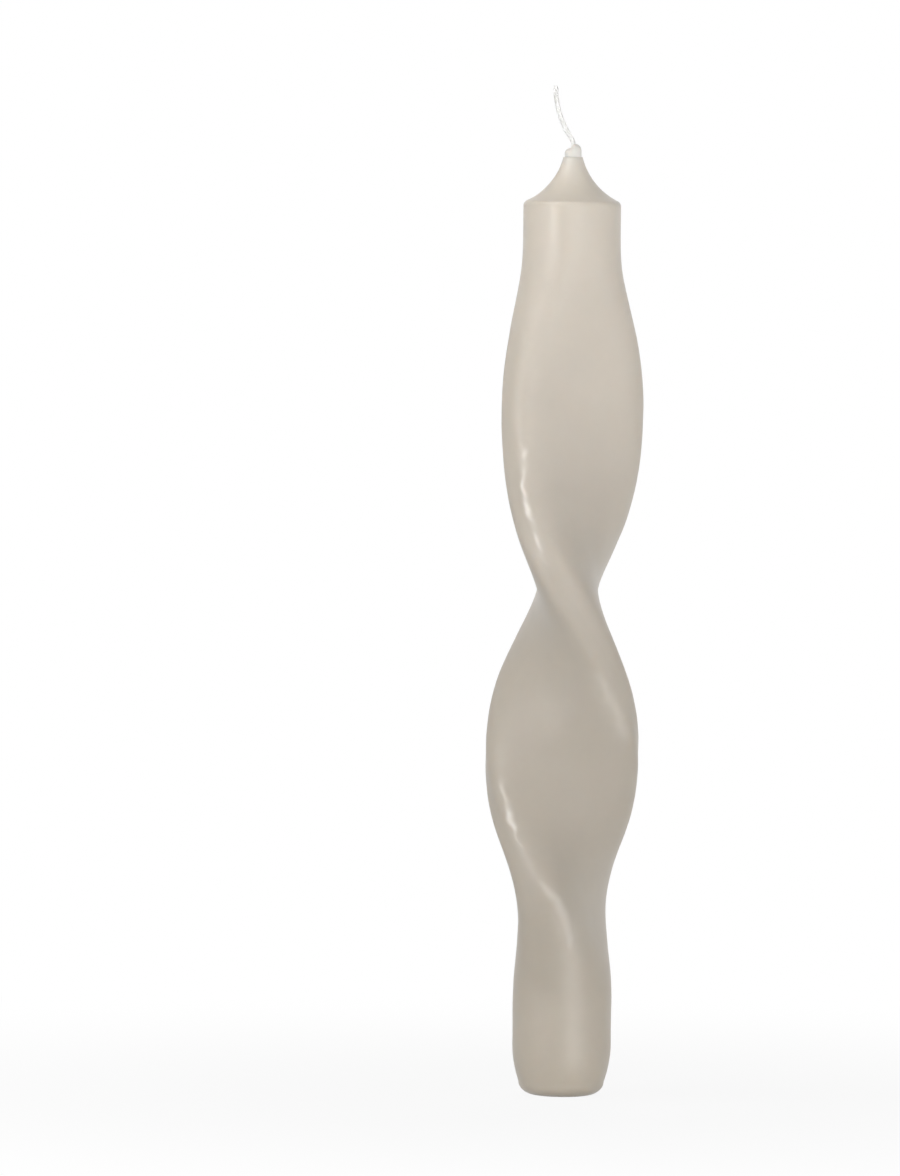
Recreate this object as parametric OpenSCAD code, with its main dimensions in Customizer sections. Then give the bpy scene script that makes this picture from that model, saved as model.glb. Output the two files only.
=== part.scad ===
// Twisted taper candle, in millimetres, standing on its foot with the wick's axis along Z.
// The round butt goes into a holder's cup. Above it the taper is rolled flat into a blade,
// and the blade is turned about the axis. A round collar with a hollow-sided tip ends it.
// A dyed coat covers a pale core, and a cotton wick runs up the middle.

/* [Butt] */
// Diameter of the round butt, which a holder's cup takes
butt_d = 22; // [20:0.5:26]
// Length of the butt's parallel stretch
butt_grip = 12.5; // [6:0.5:25]
// Height of the drawn-in stretch below the parallel one
lead_len = 9; // [5:0.5:15]
// Diameter at the lower end of the drawn-in stretch
lead_d = 19; // [16:0.5:19.5]
// Height of the rounded edge round the foot
foot_round = 3; // [2.5:0.5:5]
// Diameter of the flat that the candle stands on
foot_d = 11; // [6:0.5:13]

/* [Blade] */
// Length of the stretch that is rolled flat
blade_len = 161; // [110:1:220]
// Width of the blade across its edges
blade_w = 33.8; // [28:0.2:42]
// Thickness of the blade through its faces
blade_t = 13.5; // [10:0.1:18]
// How far the blade sits off the axis towards one edge
blade_offset = 0.8; // [0:0.1:1.5]
// Squareness of the blade's section, where 2 is an ellipse
blade_square = 3.2; // [2:0.1:4]
// Height over which the round butt flattens into the blade
low_run = 21; // [14:1:40]
// Height over which the blade rounds into the collar
high_run = 32; // [14:1:50]
// How late each run gathers pace, where 1 is an even S-curve
run_skew = 0.78; // [0.6:0.02:1.2]

/* [Twist] */
// Turn of the blade from the collar to the butt, in degrees
twist_turn = 221; // [90:1:360]
// Direction of the blade's wide axis at the collar, in degrees from X
twist_heading = 30; // [0:1:180]
// Length of blade below the twist
plain_low = 13; // [5:0.5:25]
// Length of blade above the twist
plain_high = 31.5; // [10:0.5:40]
// Length over which the twist eases in at its lower end
ease_low = 18.5; // [5:0.5:25]
// Length over which the twist eases in at its upper end
ease_high = 36; // [5:0.5:40]

/* [Collar and tip] */
// Diameter of the round collar above the blade
collar_d = 21.6; // [20:0.2:26]
// Length of the collar up to its shoulder
collar_len = 11.8; // [6:0.2:25]
// Radius of the shoulder's edge
shoulder_round = 1.4; // [0.6:0.1:2.5]
// Slope of the shoulder inside that edge, in degrees
shoulder_slope = 25.5; // [18:0.5:35]
// Height of the hollow-sided tip above the shoulder's edge
tip_h = 9.6; // [8:0.2:16]
// Diameter of the coat's rim round the core's nub
tip_d = 4.3; // [4.2:0.1:5]
// Diameter of the nub of core that stands out of the coat
nub_d = 3.7; // [2.6:0.1:3.9]
// Height of the nub above the coat's rim
nub_h = 2.6; // [1.6:0.1:4]
// Radius of the nub's upper edge
nub_round = 1; // [0.4:0.1:1.1]

/* [Coat] */
// Thickness of the dyed coat
coat_t = 1.2; // [0.6:0.1:2]
// Clearance between the coat and the core
dip_gap = 0.05; // [0.03:0.01:0.2]

/* [Wick] */
// Diameter of the wick
wick_d = 1.2; // [0.8:0.1:1.4]
// Clearance between the wick and the core
wick_gap = 0.05; // [0.03:0.01:0.1]
// Height of the free wick above the nub
stub_h = 13; // [8:0.5:20]
// How far the free wick leans to the side
stub_lean = 4; // [1:0.5:6]
// Bend radius where the wick leaves the nub
stub_bend = 3; // [1.5:0.5:4]
// How much thinner the wick is past that bend
stub_thin = 0.1; // [0.06:0.02:0.3]

/* [Hidden] */
$fn = 96;

// Sides of a blade section, and steps along the blade outside and inside
sides = 40;
skin_steps = 64;
core_steps = 32;
// Steps along a rounded edge and along the hollow side of the tip
edge_steps = 8;
side_steps = 14;
// How deep the blade's ends sit in the round parts, and how far they keep from their outlines
sink = 0.5;
seam = 0.15;
// A polygon round a circle has its corners this much further out
outset = 1 / cos(180 / sides);

butt_r = butt_d / 2;
lead_r = lead_d / 2;
foot_r = foot_d / 2;
collar_r = collar_d / 2;
tip_r = tip_d / 2;
nub_r = nub_d / 2;

// Heights from the foot up
lead_z = foot_round + lead_len;
blade_z = lead_z + butt_grip;
collar_z = blade_z + blade_len;
shoulder_z = collar_z + collar_len;
rim_z = shoulder_z + shoulder_round * cos(shoulder_slope) + tip_h;
nub_z = rim_z + nub_h;

// The drawn-in stretch is an arc that leaves the parallel stretch without a corner
lead_drop = butt_r - lead_r;
lead_arc = (lead_len * lead_len + lead_drop * lead_drop) / (2 * lead_drop);

// The tip's hollow side is an arc that leaves the shoulder at its slope and ends at the rim
tip_normal = [sin(shoulder_slope), cos(shoulder_slope)];
tip_start = [collar_r - shoulder_round, shoulder_z] + shoulder_round * tip_normal;
tip_chord = [tip_r, rim_z] - tip_start;
tip_arc = (tip_chord * tip_chord) / (2 * tip_chord * tip_normal);
tip_centre = tip_start + tip_arc * tip_normal;

// Twist per millimetre where it runs at full pace
twist_low_z = blade_z + plain_low;
twist_high_z = collar_z - plain_high;
twist_rate = twist_turn / (twist_high_z - twist_low_z - (ease_low + ease_high) / 2);

// The free wick leans out of the nub on one arc and comes upright again on another
stub_angle = 2 * atan(stub_lean / stub_h);
stub_reach = stub_h / sin(stub_angle);
stub_straighten = stub_reach - stub_bend;
// The thinner bend starts this many degrees early, inside the thicker one
stub_lap = 0.5;

// Outline of the butt from the axis at the foot up to the blade, moved inwards by inset
function butt_outline(inset) = concat(
    [[0, inset]],
    [for (i = [0 : edge_steps])
        let (t = 90 * i / edge_steps)
        [foot_r + (lead_r - inset - foot_r) * sin(t), foot_round - (foot_round - inset) * cos(t)]],
    [for (i = [1 : edge_steps])
        let (h = lead_len * (1 - i / edge_steps))
        [butt_r - inset - lead_arc + sqrt(lead_arc * lead_arc - h * h), lead_z - h]],
    [[butt_r - inset, blade_z]]);

// Angle about the tip arc's centre at which the arc, moved inwards by inset, has radius r
function tip_angle(r, inset) = acos((tip_centre.x - r) / (tip_arc + inset));

// The tip's hollow side between two radii, moved inwards by inset
function tip_side(from_r, to_r, inset) =
    let (first = tip_angle(from_r, inset), last = tip_angle(to_r, inset))
    [for (i = [0 : side_steps])
        let (t = first + (last - first) * i / side_steps)
        tip_centre - (tip_arc + inset) * [cos(t), sin(t)]];

// The shoulder's rounded edge
function shoulder_edge() =
    [for (i = [0 : edge_steps - 1])
        let (t = (90 - shoulder_slope) * i / edge_steps)
        [collar_r - shoulder_round * (1 - cos(t)), shoulder_z + shoulder_round * sin(t)]];

// The nub's rounded upper edge
function nub_edge() =
    [for (i = [0 : edge_steps])
        let (t = 90 * i / edge_steps)
        [nub_r - nub_round * (1 - cos(t)), nub_z - nub_round * (1 - sin(t))]];

function reversed(list) = [for (i = [len(list) - 1 : -1 : 0]) list[i]];

// S-curve from 0 to 1, skewed towards its start
function run(t) =
    let (s = pow(min(max(t, 0), 1), run_skew))
    s * s * (3 - 2 * s);

// How flat the section is at height z: 0 is round, 1 is the full blade
function flatness(z) = run((z - blade_z) / low_run) * run((collar_z - z) / high_run);

// Length travelled when the pace grows evenly over the first stretch and then holds
function eased(t, stretch) =
    t <= 0 ? 0 : t < stretch ? t * t / (2 * stretch) : t - stretch / 2;

// Direction of the blade's wide axis at height z
function heading(z) = twist_heading
    + twist_rate * (eased(twist_high_z - z, ease_high) - eased(twist_low_z + ease_low - z, ease_low));

// Radius of the round candle at height z, which the blade is rolled from
function round_r(z) = butt_r + (collar_r - butt_r) * min(max((z - blade_z) / blade_len, 0), 1);

// Signed power, which squares up an ellipse
function squared(c, n) = sign(c) * pow(abs(c), 2 / n);

// Points of the blade's section at height z, moved inwards by inset and scaled by grow,
// with the round ends larger by ledge
function section(z, inset, ledge, grow) =
    let (f = flatness(z),
         r = round_r(z) + ledge,
         half_w = grow * (r + (blade_w / 2 - r) * f - inset),
         half_t = grow * (r + (blade_t / 2 - r) * f - inset),
         n = 2 + (blade_square - 2) * f,
         turn = heading(z))
    [for (i = [0 : sides - 1])
        let (u = 360 * i / sides,
             across = half_w * squared(cos(u), n) + blade_offset * f,
             through = half_t * squared(sin(u), n))
        [across * cos(turn) - through * sin(turn), across * sin(turn) + through * cos(turn), z]];

// Heights of the sections: in the middle of even steps, and sunk into the round parts at both ends
function section_heights(steps) = concat(
    [blade_z - sink],
    [for (i = [0 : steps - 1]) blade_z + blade_len * (i + 0.5) / steps],
    [collar_z + sink]);

function skin_points(steps, inset, ledge, grow) =
    [for (z = section_heights(steps)) each section(z, inset, ledge, grow)];

// Triangles between neighbouring sections, whose points start at index first
function skin_faces(steps, first) =
    [for (k = [0 : steps], i = [0 : sides - 1])
        let (a = first + k * sides + i,
             b = first + k * sides + (i + 1) % sides)
        each [[a, a + sides, b], [b, a + sides, b + sides]]];

function flipped(faces) = [for (f = faces) [f[2], f[1], f[0]]];

// Flat ring of triangles between two sections of the same height
function ring_faces(outer, inner) =
    [for (i = [0 : sides - 1])
        let (j = (i + 1) % sides)
        each [[outer + i, outer + j, inner + i], [inner + i, outer + j, inner + j]]];

// Solid blade
module blade(steps, inset) {
    top = (steps + 1) * sides;
    polyhedron(
        points = skin_points(steps, inset, -seam, 1),
        faces = concat(
            skin_faces(steps, 0),
            [[for (i = [0 : sides - 1]) i]],
            [[for (i = [sides - 1 : -1 : 0]) top + i]]),
        convexity = 6);
}

// Hollow blade, open at both ends, with a wall of the coat's thickness
module blade_tube() {
    inner = (skin_steps + 2) * sides;
    outer_top = (skin_steps + 1) * sides;
    inner_top = inner + (core_steps + 1) * sides;
    polyhedron(
        points = concat(
            skin_points(skin_steps, 0, -seam, 1),
            skin_points(core_steps, coat_t, seam, outset)),
        faces = concat(
            skin_faces(skin_steps, 0),
            flipped(skin_faces(core_steps, inner)),
            ring_faces(0, inner),
            flipped(ring_faces(outer_top, inner_top))),
        convexity = 10);
}

// Dyed wax skin over the sides and the foot, open round the nub
module colour_coat() {
    color([0.75, 0.70, 0.64]) {
        rotate_extrude()
            polygon(concat(butt_outline(0), reversed(butt_outline(coat_t))));
        blade_tube();
        rotate_extrude()
            polygon(concat(
                [[collar_r, collar_z]],
                shoulder_edge(),
                tip_side(tip_start.x, tip_r, 0),
                [[nub_r + dip_gap, rim_z]],
                reversed(tip_side(collar_r - coat_t, nub_r + dip_gap, coat_t)),
                [[collar_r - coat_t, collar_z]]));
    }
}

// Pale wax inside the coat, with a channel for the wick and a nub above the coat's rim
module wax_core() {
    core_inset = coat_t + dip_gap;
    color([0.94, 0.91, 0.85])
        difference() {
            union() {
                rotate_extrude()
                    polygon(concat(butt_outline(core_inset), [[0, blade_z]]));
                blade(core_steps, core_inset);
                rotate_extrude()
                    polygon(concat(
                        [[0, collar_z], [collar_r - core_inset, collar_z]],
                        tip_side(collar_r - core_inset, nub_r, core_inset),
                        nub_edge(),
                        [[0, nub_z]]));
            }
            cylinder(h = nub_z + sink, d = wick_d + 2 * wick_gap);
        }
}

// A bend of the wick in the XZ plane, about the origin and from the X axis up by angle
module wick_bend(radius, angle, d) {
    rotate([90, 0, 0])
        rotate_extrude(angle = angle)
            translate([radius, 0])
                circle(d = d);
}

// Cotton wick from the bottom of the core to the end of the free stub
module wick() {
    wick_z = coat_t + dip_gap;
    bend_end = [stub_bend * (cos(stub_angle) - 1), nub_z + stub_bend * sin(stub_angle)];
    far_centre = bend_end + stub_straighten * [cos(stub_angle), sin(stub_angle)];
    color([0.97, 0.96, 0.94]) {
        translate([0, 0, wick_z])
            cylinder(h = nub_z - wick_z, d = wick_d);
        translate([-stub_bend, 0, nub_z])
            wick_bend(stub_bend, stub_angle, wick_d);
        translate([far_centre.x, 0, far_centre.y])
            rotate([0, 180, 0])
                wick_bend(stub_straighten, stub_angle + stub_lap, wick_d - stub_thin);
    }
}

colour_coat();
wax_core();
wick();
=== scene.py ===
import math

import bpy
import numpy as np
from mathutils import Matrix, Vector


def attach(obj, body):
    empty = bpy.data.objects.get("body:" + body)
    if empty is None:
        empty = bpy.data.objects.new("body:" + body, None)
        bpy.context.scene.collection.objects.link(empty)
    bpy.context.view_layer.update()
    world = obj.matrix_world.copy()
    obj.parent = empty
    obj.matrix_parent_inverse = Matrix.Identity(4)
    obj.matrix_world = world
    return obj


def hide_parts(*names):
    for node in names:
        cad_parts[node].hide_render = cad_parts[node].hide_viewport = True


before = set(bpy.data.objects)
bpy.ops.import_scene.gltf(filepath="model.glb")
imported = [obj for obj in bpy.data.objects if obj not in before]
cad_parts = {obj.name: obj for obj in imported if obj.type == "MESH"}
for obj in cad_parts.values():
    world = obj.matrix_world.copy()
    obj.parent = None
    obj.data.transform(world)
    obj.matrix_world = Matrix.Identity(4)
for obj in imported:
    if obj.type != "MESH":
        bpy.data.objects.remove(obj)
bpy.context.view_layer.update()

# A twisted taper candle: its looks, light and camera round the CAD frame
MM = 0.001

# Sizes of the candle's body, in millimetres and degrees
BUTT_R = 11.0
LEAD_R = 9.5
LEAD_LEN = 9.0
AXIS_R = 0.05
FOOT_R = 5.5
FOOT_ROUND = 3.0
LEAD_Z = FOOT_ROUND + LEAD_LEN
BLADE_Z = 24.5
BLADE_LEN = 161.0
COLLAR_Z = BLADE_Z + BLADE_LEN
BLADE_HALF_W = 16.9
BLADE_HALF_T = 6.75
BLADE_OFFSET = 0.8
BLADE_SQUARE = 3.2
LOW_RUN = 21.0
HIGH_RUN = 32.0
RUN_SKEW = 0.78
TWIST_TURN = 221.0
TWIST_HEADING = 30.0
EASE_LOW = 18.5
EASE_HIGH = 36.0
TWIST_LOW_Z = BLADE_Z + 13.0
TWIST_HIGH_Z = COLLAR_Z - 31.5
TWIST_RATE = TWIST_TURN / (TWIST_HIGH_Z - TWIST_LOW_Z - (EASE_LOW + EASE_HIGH) / 2)
COLLAR_R = 10.8
SHOULDER_Z = COLLAR_Z + 11.8
SHOULDER_ROUND = 1.4
SHOULDER_SLOPE = math.radians(25.5)
TIP_R = 2.15
RIM_Z = SHOULDER_Z + SHOULDER_ROUND * math.cos(SHOULDER_SLOPE) + 9.6
COAT_T = 1.2
DIP_GAP = 0.05
CORE_INSET = COAT_T + DIP_GAP

# The blade's section is averaged over this height up and down, so that it melts into the butt and the collar
MELT = 4.5
MELT_SAMPLES = 9

# The coat's rim, which is rounded over and turns a little way down round the core
RIM_CREST = 0.04
RIM_CREST_R = 2.05
RIM_IN_R = 1.93
LIP_R = 1.91
LIP_DEPTHS = (0.4, 1.2)

# The core's nub, with a rounded crown that steps up from its left lobe to its right one
NUB_R = 1.85
NUB_Z = RIM_Z + 2.6
CROWN_Z = NUB_Z - 1.6
CROWN_H = 1.5
CROWN_BLUNT = 0.7
CROWN_END_R = 0.02
LOBE_LEN = 2.2
LOBE_EDGE_X = -0.55
LOBE_STEP_W = 0.7
LOBE_H = 0.5

# Unevenness of the wax, which calms down near the foot and the rim
BROAD_LUMP = 0.06
FINE_LUMP = 0.018
FOOT_CALM = 6.0
RIM_CALM = 3.0
RIM_CLEAR = 1.0

# Highlight lines painted paler along the blade's edges, also raised a little: heights, angles off its wide
# axis, and a climb in degrees per millimetre
LINE_RISE = 0.12
LINE_CLIMB = 0.68
CLIMB_LEN = 20.0
NECK_TOP = 51.0
NECK_SOFT = 1.5
EXP_LIMIT = 50
NECK_SWING = 14.0
NECK_LINE = 4.5
BUTT_LINE = 34.0
WAIST_TOP = 121.0
CORNER_LINE = -17.5
WANDER = 0.22
BREAK_MEAN = 0.75
BREAK_SWING = 0.6
BREAK_LEAST = 0.15
CALM_LINE = 0.4

# The wick, with strands that loosen and thin out towards its free end
WICK_R = 0.6
STUB_H = 13.0
STUB_LEAN = 4.0
STUB_BEND = 3.0
CORD_R = WICK_R * 0.95
FREE_CORD_R = 0.50
CORD_STRAIGHT = 0.6
CORD_LEAD = 0.4
CORD_SHORT = 0.3
STRANDS = 3
STRAND_R = 0.46
STRAND_ROOT = 2.4
BRAID_PITCH = 3.4
BRAID_SWAY = (0.08, 0.05)
LOOSE_LEN = 2.2
LOOSE_GAIN = 0.5
THIN_LEN = 0.5
THIN_SHARE = 0.35
FIBRES = 14
FIBRE_SEED = 5
FIBRE_OUT = 0.3
FIBRE_ROOTS = (1.0, 0.1)
FIBRE_LEAN_X = (0.1, 0.45)
FIBRE_LEAN_Y = (0.1, 0.4)
FIBRE_LEAST = 0.4
FIBRE_PAST = 0.25
FIBRE_R = 0.035
FIBRE_END_R = 0.012

# Counts of rings and of points round them
COAT_SEGMENTS = 256
CORE_SEGMENTS = 64
CORD_SIDES = 16
STRAND_SIDES = 12
FIBRE_SIDES = 5
FOOT_RINGS = 6
CORD_RINGS = 60
STRAND_RINGS = 260
FIBRE_RINGS = 6
COLLAR_RINGS = 18
NUB_RINGS = 8
CROWN_RINGS = 12

# Colours and finish; noise is stretched to its full range between the low and the high value
GREIGE = (0.60, 0.54, 0.458)
PALE_WAX = (0.667, 0.64, 0.59)
COTTON_DARK = (0.76, 0.75, 0.72)
COTTON_PALE = (0.81, 0.80, 0.77)
# Gain of the painted highlights along the blade's edge lines
HIGHLIGHT_GAIN = (1.55, 1.62, 1.75)
CLOUD_DARK = 0.965
CLOUD_PALE = 1.03
MOTTLE_DARK = (0.992, 0.990, 0.988)
PLAIN = (1.0, 1.0, 1.0)
SATIN_SWING = 0.02
POLISHED = 0.29
WAX_IOR = 1.44
WAX_GLOSS = 0.30
SCATTER_RADIUS = (1.0, 0.75, 0.55)
SCATTER_SCALE = 0.0025
THIN_COAT_LEN = 7.0
THIN_COAT_PAST = 0.3
THIN_COAT_SHARE = 0.35
COTTON_ROUGH = 0.7
COTTON_GLOSS = 0.1
NOISE_LOW = 0.3
NOISE_HIGH = 0.7


def run(t):
    """S-curve from 0 to 1, skewed towards its start."""
    s = np.clip(t, 0, 1) ** RUN_SKEW
    return s * s * (3 - 2 * s)


def flatness(z):
    """0 where the section is round, 1 where it is the full blade, averaged over a short height."""
    z = np.asarray(z)[..., None] + np.linspace(-MELT, MELT, MELT_SAMPLES)
    return (run((z - BLADE_Z) / LOW_RUN) * run((COLLAR_Z - z) / HIGH_RUN)).mean(axis=-1)


def eased(t, stretch):
    """Length travelled when the pace grows evenly over the first stretch and then holds."""
    return np.where(t <= 0, 0, np.where(t < stretch, t * t / (2 * stretch), t - stretch / 2))


def heading(z):
    """Direction of the blade's wide axis, in radians."""
    turned = eased(TWIST_HIGH_Z - z, EASE_HIGH) - eased(TWIST_LOW_Z + EASE_LOW - z, EASE_LOW)
    return np.radians(TWIST_HEADING + TWIST_RATE * turned)


def around(count, n):
    """Angles round a squared ellipse, gathered so that its points come out evenly."""
    t = np.arange(count) / count * 4
    side = np.floor(t)
    t = t - side
    p = n / 2
    g = t**p / (t**p + (1 - t) ** p)
    return (side + g) * math.pi / 2


def ring(z, half_w, half_t, n, offset, turn, count):
    """One closed ring of points at height z: an ellipse squared by n, off the axis and turned."""
    u = around(count, n)
    c, s = np.cos(u), np.sin(u)
    across = half_w * np.sign(c) * np.abs(c) ** (2 / n) + offset
    through = half_t * np.sign(s) * np.abs(s) ** (2 / n)
    x = across * math.cos(turn) - through * math.sin(turn)
    y = across * math.sin(turn) + through * math.cos(turn)
    return np.stack([x, y, np.full(count, z)], axis=1)


def round_ring(z, r, count):
    """A round ring whose points start at the blade's heading, so that rings join without a twist."""
    return ring(z, r, r, 2.0, 0.0, float(heading(z)), count)


def blade_ring(z, inset, count):
    """A ring of the blade at height z, moved inwards by inset."""
    f = float(flatness(z))
    r = BUTT_R + (COLLAR_R - BUTT_R) * min(max((z - BLADE_Z) / BLADE_LEN, 0), 1)
    half_w = r + (BLADE_HALF_W - r) * f - inset
    half_t = r + (BLADE_HALF_T - r) * f - inset
    n = 2 + (BLADE_SQUARE - 2) * f
    return ring(z, half_w, half_t, n, BLADE_OFFSET * f, float(heading(z)), count)


def blade_rings(inset, count, steps):
    """All rings of the blade, with the stretches where it melts into the butt and the collar."""
    return [blade_ring(z, inset, count) for z in np.linspace(BLADE_Z - MELT, COLLAR_Z + MELT, steps)]


# The tip's hollow side is an arc that leaves the shoulder at its slope and ends at the rim
tip_normal = np.array([math.sin(SHOULDER_SLOPE), math.cos(SHOULDER_SLOPE)])
tip_start = np.array([COLLAR_R - SHOULDER_ROUND, SHOULDER_Z]) + SHOULDER_ROUND * tip_normal
tip_chord = np.array([TIP_R, RIM_Z]) - tip_start
tip_arc = tip_chord @ tip_chord / (2 * tip_chord @ tip_normal)
tip_centre = tip_start + tip_arc * tip_normal


def tip_side(from_r, to_r, inset, steps):
    """Points (r, z) up the hollow side between two radii, moved inwards by inset."""
    radius = tip_arc + inset
    start = math.acos((tip_centre[0] - from_r) / radius)
    end = math.acos((tip_centre[0] - to_r) / radius)
    t = np.linspace(start, end, steps)
    return [(tip_centre[0] - radius * math.cos(a), tip_centre[1] - radius * math.sin(a)) for a in t]


def butt_outline(inset, steps):
    """Points (r, z) from near the axis under the foot up to the blade."""
    out = [(r, inset) for r in np.linspace(AXIS_R, FOOT_R, FOOT_RINGS)[:-1]]
    for t in np.linspace(0, math.pi / 2, steps):
        r = FOOT_R + (LEAD_R - inset - FOOT_R) * math.sin(t)
        out.append((r, FOOT_ROUND - (FOOT_ROUND - inset) * math.cos(t)))
    drop = BUTT_R - LEAD_R
    arc = (LEAD_LEN**2 + drop**2) / (2 * drop)
    for h in np.linspace(LEAD_LEN, 0, steps + 4)[1:]:
        out.append((BUTT_R - inset - arc + math.sqrt(arc * arc - h * h), LEAD_Z - h))
    for z in np.linspace(LEAD_Z, BLADE_Z - MELT, steps + 4)[1:-1]:
        out.append((BUTT_R - inset, z))
    return out


def shoulder_outline(steps):
    """Points (r, z) round the shoulder, between the collar and the tip's hollow side."""
    out = []
    for t in np.linspace(0, math.pi / 2 - SHOULDER_SLOPE, steps)[1:-1]:
        out.append((COLLAR_R - SHOULDER_ROUND * (1 - math.cos(t)), SHOULDER_Z + SHOULDER_ROUND * math.sin(t)))
    return out


def revolved(outline, count):
    """Round rings through the points (r, z) of an outline."""
    return [round_ring(z, r, count) for r, z in outline]


def skin(name, rings, close_ends=True):
    """Mesh of quads between rings of equal count, with a face over each end if they are closed."""
    count = len(rings[0])
    verts = np.concatenate(rings) * MM
    faces = []
    for k in range(len(rings) - 1):
        a = k * count
        for i in range(count):
            j = (i + 1) % count
            faces.append((a + i, a + j, a + count + j, a + count + i))
    if close_ends:
        last = (len(rings) - 1) * count
        faces.append(tuple(range(count - 1, -1, -1)))
        faces.append(tuple(last + i for i in range(count)))
    mesh = bpy.data.meshes.new(name)
    mesh.from_pydata(verts.tolist(), [], faces)
    mesh.update()
    mesh.polygons.foreach_set("use_smooth", [True] * len(mesh.polygons))
    obj = bpy.data.objects.new(name, mesh)
    bpy.context.scene.collection.objects.link(obj)
    return obj


def lumps(points, seed, shortest, longest, waves):
    """Even, smooth unevenness from waves of set lengths in millimetres, about -1 to 1."""
    rng = np.random.default_rng(seed)
    total = np.zeros(points.shape[:-1])
    for _ in range(waves):
        direction = rng.normal(size=3)
        direction /= np.linalg.norm(direction)
        length = rng.uniform(shortest, longest)
        total += np.sin(points @ direction * 2 * math.pi / length + rng.uniform(0, 2 * math.pi))
    return total / math.sqrt(waves)


def normals(grid):
    """Outward normals of a grid of rings."""
    along = np.gradient(grid, axis=0)
    round_about = np.roll(grid, -1, axis=1) - np.roll(grid, 1, axis=1)
    n = np.cross(round_about, along)
    return n / np.maximum(np.linalg.norm(n, axis=2, keepdims=True), 1e-9)


# Dyed coat, from the foot up the outside and a little way down inside the rim
collar = [(COLLAR_R, z) for z in np.linspace(COLLAR_Z + MELT, SHOULDER_Z, COLLAR_RINGS)[1:]]
rim = [(RIM_CREST_R, RIM_Z + RIM_CREST), (RIM_IN_R, RIM_Z)]
lip = [(LIP_R, RIM_Z - depth) for depth in LIP_DEPTHS]
rings = revolved(butt_outline(inset=0.0, steps=12), COAT_SEGMENTS)
rings += blade_rings(inset=0.0, count=COAT_SEGMENTS, steps=440)
rings += revolved(collar + shoulder_outline(steps=12), COAT_SEGMENTS)
rings += revolved(tip_side(tip_start[0], TIP_R, inset=0.0, steps=40) + rim + lip, COAT_SEGMENTS)
grid = np.stack(rings)
out = normals(grid)
height = grid[:, :, 2]
broad = BROAD_LUMP * lumps(grid, seed=11, shortest=16, longest=34, waves=14)
fine = FINE_LUMP * lumps(grid, seed=12, shortest=5, longest=10, waves=18)
calm = np.clip(height / FOOT_CALM, 0, 1) * np.clip((RIM_Z - RIM_CLEAR - height) / RIM_CALM, 0, 1)
around_axis = np.arctan2(grid[:, :, 1], grid[:, :, 0]) - heading(height)
wander = WANDER * lumps(grid, seed=13, shortest=6, longest=14, waves=8)
wander = wander + WANDER * lumps(grid, seed=14, shortest=2.5, longest=5, waves=10)
gaps = BREAK_SWING * lumps(grid, seed=15, shortest=3, longest=7, waves=10)
broken = np.clip(BREAK_MEAN + gaps, BREAK_LEAST, 1)


def window(low, high, soft):
    """1 between two heights, fading out over a soft stretch at both."""
    return run((height - low + soft) / soft) * run((high + soft - height) / soft)


def off_line(degrees):
    """Distance round the candle from a line at this angle off the blade's wide axis, at either end of it."""
    off = (around_axis - np.radians(degrees) + math.pi / 2) % math.pi - math.pi / 2
    return off * np.hypot(grid[:, :, 0], grid[:, :, 1])


def mark(share, degrees, width, low, high, soft, ragged=1.0):
    """A line of this width between two heights, fading to all sides from its share at the middle."""
    line = np.exp(-(((off_line(degrees) + ragged * wander) / width) ** 2))
    return share * line * window(low, high, soft)


# Each edge of the blade carries a faint raised line, painted paler as a highlight, which swings out over the
# neck and runs down the butt
steepness = np.clip((NECK_TOP - height) / NECK_SOFT, -EXP_LIMIT, EXP_LIMIT)
below = NECK_SOFT * np.log1p(np.exp(steepness))
above = below + height - NECK_TOP
swing = (BUTT_LINE - NECK_LINE) * (1 - np.exp(-below / NECK_SWING))
low_line = NECK_LINE + swing + LINE_CLIMB * np.minimum(above, CLIMB_LEN)
high_line = LINE_CLIMB * (height - WAIST_TOP)
# Mask of the raised lines, whose colour is also lightened as a painted highlight
pale = np.maximum.reduce([
    mark(0.5, low_line, width=1.2, low=36, high=46, soft=5, ragged=CALM_LINE),
    mark(0.18, low_line, width=1.8, low=46, high=58, soft=5, ragged=CALM_LINE),
    mark(0.25, low_line, width=2.6, low=12, high=36, soft=9, ragged=CALM_LINE),
    mark(broken, low_line, width=0.6, low=59, high=68, soft=4),
    mark(broken, high_line, width=0.6, low=123, high=142, soft=5),
    mark(0.25, CORNER_LINE, width=1.3, low=83, high=91, soft=5),
])
polished_edge = mark(1.0, high_line, width=4.0, low=121, high=140, soft=6)
polished_collar = window(low=COLLAR_Z + 4, high=SHOULDER_Z + 1, soft=6)
polish = np.maximum(polished_edge, polished_collar)
grid = grid + out * ((broad + fine) * calm + LINE_RISE * pale)[:, :, None]
coat = skin("coat", list(grid), close_ends=False)
# The painted highlight mask and the polish mask are stored on the mesh's points
for layer, amount in (("pale", pale), ("polish", polish)):
    values = amount.ravel().astype(np.float32)
    coat.data.attributes.new(layer, "FLOAT", "POINT").data.foreach_set("value", values)

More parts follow.
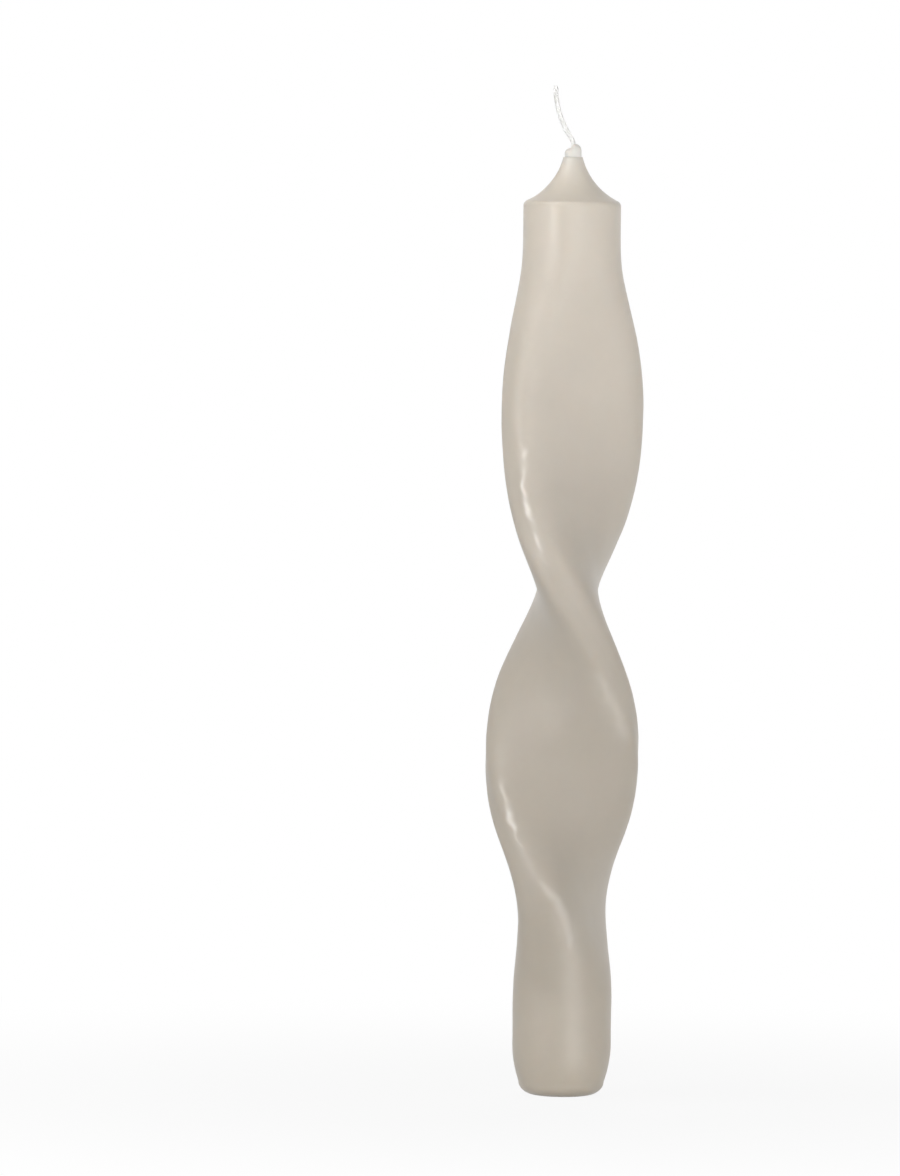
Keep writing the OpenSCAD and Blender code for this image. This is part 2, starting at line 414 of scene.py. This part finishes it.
# Pale core, with a nub of two small lobes round the wick
rings = revolved(butt_outline(CORE_INSET, steps=6), CORE_SEGMENTS)
rings += blade_rings(CORE_INSET, CORE_SEGMENTS, steps=126)
rings += revolved(tip_side(COLLAR_R - CORE_INSET, NUB_R, CORE_INSET, steps=20), CORE_SEGMENTS)
nub = [(NUB_R, z) for z in np.linspace(rings[-1][0, 2], CROWN_Z, NUB_RINGS)[1:]]
for t in np.linspace(0, 1, CROWN_RINGS)[1:]:
    r = NUB_R * math.cos(t * math.pi / 2) ** CROWN_BLUNT + CROWN_END_R
    nub.append((r, CROWN_Z + CROWN_H * math.sin(t * math.pi / 2)))
grid = np.stack(rings + revolved(nub, CORE_SEGMENTS))
high = np.clip((grid[:, :, 2] - (NUB_Z - LOBE_LEN)) / LOBE_LEN, 0, 1)
to_right = run((grid[:, :, 0] - LOBE_EDGE_X) / LOBE_STEP_W)
grid[:, :, 2] += high * (LOBE_H * to_right - LOBE_H * (1 - to_right))
core = skin("core", list(grid))

# Wick: a plain cord inside the wax, three braided strands where it is free
lean_angle = 2 * math.atan(STUB_LEAN / STUB_H)
far_bend = STUB_H / math.sin(lean_angle) - STUB_BEND
stub_len = (STUB_BEND + far_bend) * lean_angle


def wick_point(s):
    """Centre of the wick at a length s in millimetres past the nub."""
    if s <= 0:
        return np.array([0.0, 0.0, NUB_Z + s])
    first = STUB_BEND * lean_angle
    if s < first:
        a = s / STUB_BEND
        return np.array([STUB_BEND * (math.cos(a) - 1), 0.0, NUB_Z + STUB_BEND * math.sin(a)])
    a = lean_angle - (s - first) / far_bend
    outward = np.array([math.cos(lean_angle), 0.0, math.sin(lean_angle)])
    corner = np.array([STUB_BEND * (math.cos(lean_angle) - 1), 0.0, NUB_Z + STUB_BEND * math.sin(lean_angle)])
    centre = corner + far_bend * outward
    return centre - far_bend * np.array([math.cos(a), 0.0, math.sin(a)])


def tube(path, radii, sides):
    """Rings round a path that runs mostly upwards."""
    path = np.asarray(path)
    along = np.gradient(path, axis=0)
    along /= np.linalg.norm(along, axis=1, keepdims=True)
    out = []
    for p, d, r in zip(path, along, radii):
        right = np.cross([0.0, 1.0, 0.0], d)
        right /= np.linalg.norm(right)
        far = np.cross(d, right)
        t = np.arange(sides) * 2 * math.pi / sides
        out.append(p + r * (np.cos(t)[:, None] * right + np.sin(t)[:, None] * far))
    return out


def strand(number):
    """One strand of the braid, from its root in the wax to the wick's end."""
    path, radii = [], []
    for s in np.linspace(-STRAND_ROOT, stub_len, STRAND_RINGS):
        t = 2 * math.pi * (s / BRAID_PITCH + number / STRANDS)
        loosen = 1 + LOOSE_GAIN * max(0.0, (s - stub_len + LOOSE_LEN) / LOOSE_LEN) ** 2
        sway = np.array([BRAID_SWAY[0] * math.sin(t), BRAID_SWAY[1] * math.sin(2 * t), 0.0])
        path.append(wick_point(s) + sway * loosen)
        radii.append(STRAND_R * (1 - THIN_SHARE * max(0.0, (s - stub_len + THIN_LEN) / THIN_LEN)))
    return skin(f"wick_strand_{number}", tube(path, radii, STRAND_SIDES))


def fibre(number, rng):
    """One loose fibre near the wick's end."""
    start = rng.uniform(stub_len - FIBRE_ROOTS[0], stub_len - FIBRE_ROOTS[1])
    turn = rng.uniform(0, 2 * math.pi)
    base = wick_point(start) + FIBRE_OUT * np.array([math.cos(turn), math.sin(turn), 0.0])
    lean_x = math.cos(turn) * rng.uniform(*FIBRE_LEAN_X)
    lean_y = math.sin(turn) * rng.uniform(*FIBRE_LEAN_Y)
    length = rng.uniform(FIBRE_LEAST, stub_len - start + FIBRE_PAST)
    path = [base + np.array([lean_x, lean_y, 1.0]) * length * t for t in np.linspace(0, 1, FIBRE_RINGS)]
    radii = np.linspace(FIBRE_R, FIBRE_END_R, FIBRE_RINGS)
    return skin(f"wick_fibre_{number}", tube(path, radii, FIBRE_SIDES))


def join(name, pieces):
    """One object from several."""
    bpy.ops.object.select_all(action="DESELECT")
    for p in pieces:
        p.select_set(True)
    bpy.context.view_layer.objects.active = pieces[0]
    bpy.ops.object.join()
    pieces[0].name = name
    return pieces[0]


cord = [np.array([0.0, 0.0, z]) for z in np.linspace(CORE_INSET, NUB_Z - CORD_STRAIGHT, CORD_RINGS)]
cord += [wick_point(s) for s in np.linspace(-CORD_LEAD, stub_len - CORD_SHORT, CORD_RINGS)]
cord_radii = [CORD_R] * CORD_RINGS + [FREE_CORD_R] * CORD_RINGS
parts = [skin("wick_cord", tube(cord, cord_radii, CORD_SIDES))]
parts += [strand(number) for number in range(STRANDS)]
fibre_rng = np.random.default_rng(FIBRE_SEED)
parts += [fibre(number, fibre_rng) for number in range(FIBRES)]
wick = join("wick_braid", parts)


def nodes_of(name):
    """A new material, its node tree and its shader."""
    mat = bpy.data.materials.new(name)
    mat.use_nodes = True
    tree = mat.node_tree
    return mat, tree, tree.nodes["Principled BSDF"]


def noise(tree, scale, detail=3.0, rough=0.5, stretch=None):
    """Noise over the object's own coordinates, in metres."""
    place = tree.nodes.new("ShaderNodeTexCoord")
    out = place.outputs["Object"]
    if stretch:
        mapping = tree.nodes.new("ShaderNodeMapping")
        mapping.inputs["Scale"].default_value = stretch
        tree.links.new(out, mapping.inputs["Vector"])
        out = mapping.outputs["Vector"]
    tex = tree.nodes.new("ShaderNodeTexNoise")
    tex.inputs["Scale"].default_value = scale
    tex.inputs["Detail"].default_value = detail
    tex.inputs["Roughness"].default_value = rough
    tree.links.new(out, tex.inputs["Vector"])
    return tex.outputs["Fac"]


def ramp(tree, fac, low, high, start=NOISE_LOW, end=NOISE_HIGH):
    """Colour ramp between two colours."""
    node = tree.nodes.new("ShaderNodeValToRGB")
    node.color_ramp.elements[0].position = start
    node.color_ramp.elements[1].position = end
    node.color_ramp.elements[0].color = (*low, 1)
    node.color_ramp.elements[1].color = (*high, 1)
    tree.links.new(fac, node.inputs["Fac"])
    return node.outputs["Color"]


def multiply(tree, a, b):
    """Two colours multiplied."""
    node = tree.nodes.new("ShaderNodeMix")
    node.data_type = "RGBA"
    node.blend_type = "MULTIPLY"
    node.inputs["Factor"].default_value = 1.0
    tree.links.new(a, node.inputs["A"])
    tree.links.new(b, node.inputs["B"])
    return node.outputs["Result"]


def bump(tree, fac, strength, distance, below=None):
    """Bump from a height, on top of another bump where one is given."""
    node = tree.nodes.new("ShaderNodeBump")
    node.inputs["Strength"].default_value = strength
    node.inputs["Distance"].default_value = distance
    tree.links.new(fac, node.inputs["Height"])
    if below:
        tree.links.new(below, node.inputs["Normal"])
    return node.outputs["Normal"]


def spread_over(tree, fac, low, high):
    """Noise mapped to a range of numbers."""
    node = tree.nodes.new("ShaderNodeMapRange")
    node.inputs["From Min"].default_value = NOISE_LOW
    node.inputs["From Max"].default_value = NOISE_HIGH
    node.inputs["To Min"].default_value = low
    node.inputs["To Max"].default_value = high
    tree.links.new(fac, node.inputs["Value"])
    return node.outputs["Result"]


def layer_of(tree, name):
    """An amount stored on the mesh's points; 0 on a mesh without it."""
    node = tree.nodes.new("ShaderNodeAttribute")
    node.attribute_name = name
    return node.outputs["Fac"]


def blend(tree, fac, low, high):
    """A number mixed between an output and a set value."""
    node = tree.nodes.new("ShaderNodeMix")
    node.data_type = "FLOAT"
    tree.links.new(fac, node.inputs["Factor"])
    tree.links.new(low, node.inputs["A"])
    node.inputs["B"].default_value = high
    return node.outputs["Result"]


def near_tip(tree, colour):
    """A colour that pales towards the rim, where the coat thins out over the core."""
    place = tree.nodes.new("ShaderNodeSeparateXYZ")
    tree.links.new(tree.nodes.new("ShaderNodeTexCoord").outputs["Object"], place.inputs["Vector"])
    rise = tree.nodes.new("ShaderNodeMapRange")
    rise.interpolation_type = "SMOOTHSTEP"
    rise.inputs["From Min"].default_value = (RIM_Z - THIN_COAT_LEN) * MM
    rise.inputs["From Max"].default_value = (RIM_Z + THIN_COAT_PAST) * MM
    rise.inputs["To Max"].default_value = THIN_COAT_SHARE
    tree.links.new(place.outputs["Z"], rise.inputs["Value"])
    node = tree.nodes.new("ShaderNodeMix")
    node.data_type = "RGBA"
    tree.links.new(rise.outputs["Result"], node.inputs["Factor"])
    tree.links.new(colour, node.inputs["A"])
    node.inputs["B"].default_value = (*PALE_WAX, 1)
    return node.outputs["Result"]


def wax(name, colour, rough, scatter):
    """Satin wax: clouded colour, fine dimples, light that sinks in a little, highlights painted paler along
    the edge lines, and smoother edges.
    """
    mat, tree, shader = nodes_of(name)
    dark = [c * CLOUD_DARK for c in colour]
    light = [min(1.0, c * CLOUD_PALE) for c in colour]
    clouds = ramp(tree, noise(tree, scale=55, detail=4), dark, light)
    mottle = ramp(tree, noise(tree, scale=420, detail=2), MOTTLE_DARK, PLAIN)
    # Painted highlight: the colour is lightened along the lines stored on the mesh
    painted_highlight = ramp(tree, layer_of(tree, "pale"), PLAIN, HIGHLIGHT_GAIN, start=0.0, end=1.0)
    tint = multiply(tree, multiply(tree, clouds, mottle), painted_highlight)
    tree.links.new(near_tip(tree, tint), shader.inputs["Base Color"])
    satin = spread_over(tree, noise(tree, scale=160, detail=3), rough - SATIN_SWING, rough + SATIN_SWING)
    tree.links.new(blend(tree, layer_of(tree, "polish"), satin, POLISHED), shader.inputs["Roughness"])
    dents = bump(tree, noise(tree, scale=130, detail=2), strength=0.08, distance=0.0006)
    dimples = bump(tree, noise(tree, scale=900, detail=2), strength=0.03, distance=0.0001, below=dents)
    tree.links.new(dimples, shader.inputs["Normal"])
    shader.inputs["IOR"].default_value = WAX_IOR
    shader.inputs["Specular IOR Level"].default_value = WAX_GLOSS
    shader.inputs["Subsurface Weight"].default_value = scatter
    shader.inputs["Subsurface Radius"].default_value = SCATTER_RADIUS
    shader.inputs["Subsurface Scale"].default_value = SCATTER_SCALE
    return mat


def cotton(name):
    """Wax-soaked cotton with fine fibres."""
    mat, tree, shader = nodes_of(name)
    fibres = noise(tree, scale=2600, detail=3, rough=0.6, stretch=(1.0, 1.0, 0.25))
    tree.links.new(ramp(tree, fibres, COTTON_DARK, COTTON_PALE), shader.inputs["Base Color"])
    tree.links.new(bump(tree, fibres, strength=0.05, distance=0.00005), shader.inputs["Normal"])
    shader.inputs["Roughness"].default_value = COTTON_ROUGH
    shader.inputs["Specular IOR Level"].default_value = COTTON_GLOSS
    return mat


coat.data.materials.append(wax("dyed_wax", GREIGE, rough=0.35, scatter=0.20))
core.data.materials.append(wax("pale_wax", PALE_WAX, rough=0.45, scatter=0.15))
wick.data.materials.append(cotton("cotton"))

pieces = (
    (coat, "colour_coat", "dyed_wax"),
    (core, "wax_core", "pale_wax"),
    (wick, "wick", "cotton"),
)
for piece, node, slot in pieces:
    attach(piece, "root")
    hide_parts(node)

# Pale floor, which shows nearly white to the camera and keeps the candle's shadow, in metres
FLOOR_HALF = 6
FLOOR_GREY = (0.62, 0.62, 0.62, 1)
FLOOR_ROUGH = 0.9
FLOOR_GLOSS = 0.1
WHITE = (1, 1, 1, 1)
SHADOW_NEAR = 0.03
SHADOW_FAR = 0.25
WHITE_NEAR = 0.91
WORLD_FILL = 0.20
floor_mesh = bpy.data.meshes.new("floor")
corners = [(x * FLOOR_HALF, y * FLOOR_HALF, 0) for x, y in ((-1, -1), (1, -1), (1, 1), (-1, 1))]
floor_mesh.from_pydata(corners, [], [(0, 1, 2, 3)])
floor = bpy.data.objects.new("floor", floor_mesh)
bpy.context.scene.collection.objects.link(floor)


def seen_directly(tree):
    """1 for rays from the camera, off gloss or through glass."""
    path = tree.nodes.new("ShaderNodeLightPath")
    total = path.outputs["Is Camera Ray"]
    for other in ("Is Glossy Ray", "Is Transmission Ray"):
        node = tree.nodes.new("ShaderNodeMath")
        node.operation = "MAXIMUM"
        tree.links.new(total, node.inputs[0])
        tree.links.new(path.outputs[other], node.inputs[1])
        total = node.outputs[0]
    return total


mat, tree, shader = nodes_of("floor")
shader.inputs["Base Color"].default_value = FLOOR_GREY
shader.inputs["Roughness"].default_value = FLOOR_ROUGH
shader.inputs["Specular IOR Level"].default_value = FLOOR_GLOSS
white = tree.nodes.new("ShaderNodeEmission")
white.inputs["Color"].default_value = WHITE
white.inputs["Strength"].default_value = 1.0
floor_place = tree.nodes.new("ShaderNodeTexCoord")
reach = tree.nodes.new("ShaderNodeVectorMath")
reach.operation = "LENGTH"
tree.links.new(floor_place.outputs["Object"], reach.inputs[0])
whiter = tree.nodes.new("ShaderNodeMapRange")
whiter.interpolation_type = "SMOOTHSTEP"
whiter.inputs["From Min"].default_value = SHADOW_NEAR
whiter.inputs["From Max"].default_value = SHADOW_FAR
whiter.inputs["To Min"].default_value = WHITE_NEAR
whiter.inputs["To Max"].default_value = 1.0
tree.links.new(reach.outputs["Value"], whiter.inputs["Value"])
share = tree.nodes.new("ShaderNodeMath")
share.operation = "MULTIPLY"
tree.links.new(seen_directly(tree), share.inputs[0])
tree.links.new(whiter.outputs["Result"], share.inputs[1])
mix = tree.nodes.new("ShaderNodeMixShader")
tree.links.new(share.outputs[0], mix.inputs["Fac"])
tree.links.new(shader.outputs["BSDF"], mix.inputs[1])
tree.links.new(white.outputs["Emission"], mix.inputs[2])
tree.links.new(mix.outputs["Shader"], tree.nodes["Material Output"].inputs["Surface"])
floor_mesh.materials.append(mat)

# White surroundings that light the candle only a little
world = bpy.data.worlds.new("studio")
world.use_nodes = True
bpy.context.scene.world = world
tree = world.node_tree
tree.nodes["Background"].inputs["Color"].default_value = WHITE
strength = tree.nodes.new("ShaderNodeMapRange")
strength.inputs["To Min"].default_value = WORLD_FILL
strength.inputs["To Max"].default_value = 1.0
tree.links.new(seen_directly(tree), strength.inputs["Value"])
tree.links.new(strength.outputs["Result"], tree.nodes["Background"].inputs["Strength"])


def softbox(name, place, aim, size, power, tint=(1, 1, 1), spread=180, glossy=True, diffuse=True):
    """Rectangular lamp at a place, turned towards a point; lamps that aren't glossy leave no highlight."""
    data = bpy.data.lights.new(name, "AREA")
    data.shape = "RECTANGLE"
    data.size, data.size_y = size
    data.energy = power
    data.color = tint
    data.spread = math.radians(spread)
    obj = bpy.data.objects.new(name, data)
    obj.location = place
    obj.rotation_euler = (Vector(aim) - Vector(place)).to_track_quat("-Z", "Y").to_euler()
    obj.visible_camera = False
    obj.visible_glossy = glossy
    obj.visible_diffuse = diffuse
    bpy.context.scene.collection.objects.link(obj)


# Studio light, with places in metres: only the window and the glint leave highlights on the wax
MIDDLE = (0, 0, 0.12)
TOP = (0, 0, 0.20)
NEAR_TIP = (0, 0, 0.212)
COOL = (0.98, 1.0, 1.035)
WARM = (1.0, 0.99, 0.95)
softbox(
    "front", place=(0.08, -0.70, 0.10), aim=(0, 0, 0.228), size=(0.40, 0.15), power=0.226,
    tint=COOL, spread=35, glossy=False,
)
softbox(
    "foot", place=(0.0, -0.70, 0.06), aim=(0, 0, -0.03), size=(0.40, 0.10), power=0.066,
    tint=WARM, spread=20, glossy=False,
)
softbox("top_left", place=(-0.30, -0.05, 0.60), aim=MIDDLE, size=(0.25, 0.25), power=0.87, glossy=False)
softbox("window", place=(-0.68, -0.66, 0.17), aim=(0, 0, 0.13), size=(0.16, 0.13), power=1.5)
softbox("card", place=(0.25, -0.06, 0.006), aim=MIDDLE, size=(0.20, 0.10), power=0.254, glossy=False)
softbox("tip", place=(0.0, -0.03, 0.30), aim=TOP, size=(0.06, 0.06), power=0.018, glossy=False)
softbox(
    "top_west", place=(-0.50, -0.10, 0.25), aim=NEAR_TIP, size=(0.08, 0.08), power=0.0055,
    spread=20, glossy=False,
)
softbox(
    "top_east", place=(0.50, -0.10, 0.27), aim=NEAR_TIP, size=(0.08, 0.08), power=0.0045,
    spread=20, glossy=False,
)
softbox("glint", place=(-0.354, -0.245, 0.621), aim=TOP, size=(0.06, 0.06), power=1.6, diffuse=False)
softbox("right", place=(0.62, -0.20, 0.14), aim=MIDDLE, size=(0.25, 0.25), power=0.15, glossy=False)
softbox("back", place=(0.05, 0.80, 0.28), aim=MIDDLE, size=(0.60, 0.50), power=3.0, glossy=False)

# Camera at the photograph's angle: a long lens, level with the candle's tip; rows and widths are in pixels
PHOTO_W = 900
PHOTO_MIDDLE_ROW = 588.0
FOOT_ROW = 1094.8
AXIS_RIGHT_OF_MIDDLE = 117.4
BUTT_W_IN_PIXELS = 99.2
PIXEL = 2 * BUTT_R / BUTT_W_IN_PIXELS * MM
DISTANCE = 2.0
CAMERA_Z = 0.205
CAMERA_ROLL = math.radians(0.72)
SENSOR_W = 36.0
target = Vector((-AXIS_RIGHT_OF_MIDDLE * PIXEL, 0.0, (FOOT_ROW - PHOTO_MIDDLE_ROW) * PIXEL))
stand = Vector((target.x, -DISTANCE, CAMERA_Z))
camera_data = bpy.data.cameras.new("camera")
camera_data.sensor_fit = "HORIZONTAL"
camera_data.sensor_width = SENSOR_W
camera_data.lens = SENSOR_W * (target - stand).length / (PHOTO_W * PIXEL)
camera = bpy.data.objects.new("camera", camera_data)
camera.location = stand
camera.rotation_euler = (target - stand).to_track_quat("-Z", "Y").to_euler()
camera.rotation_euler.rotate_axis("Z", CAMERA_ROLL)
bpy.context.scene.collection.objects.link(camera)
bpy.context.scene.camera = camera

bpy.context.scene.view_settings.view_transform = "Standard"
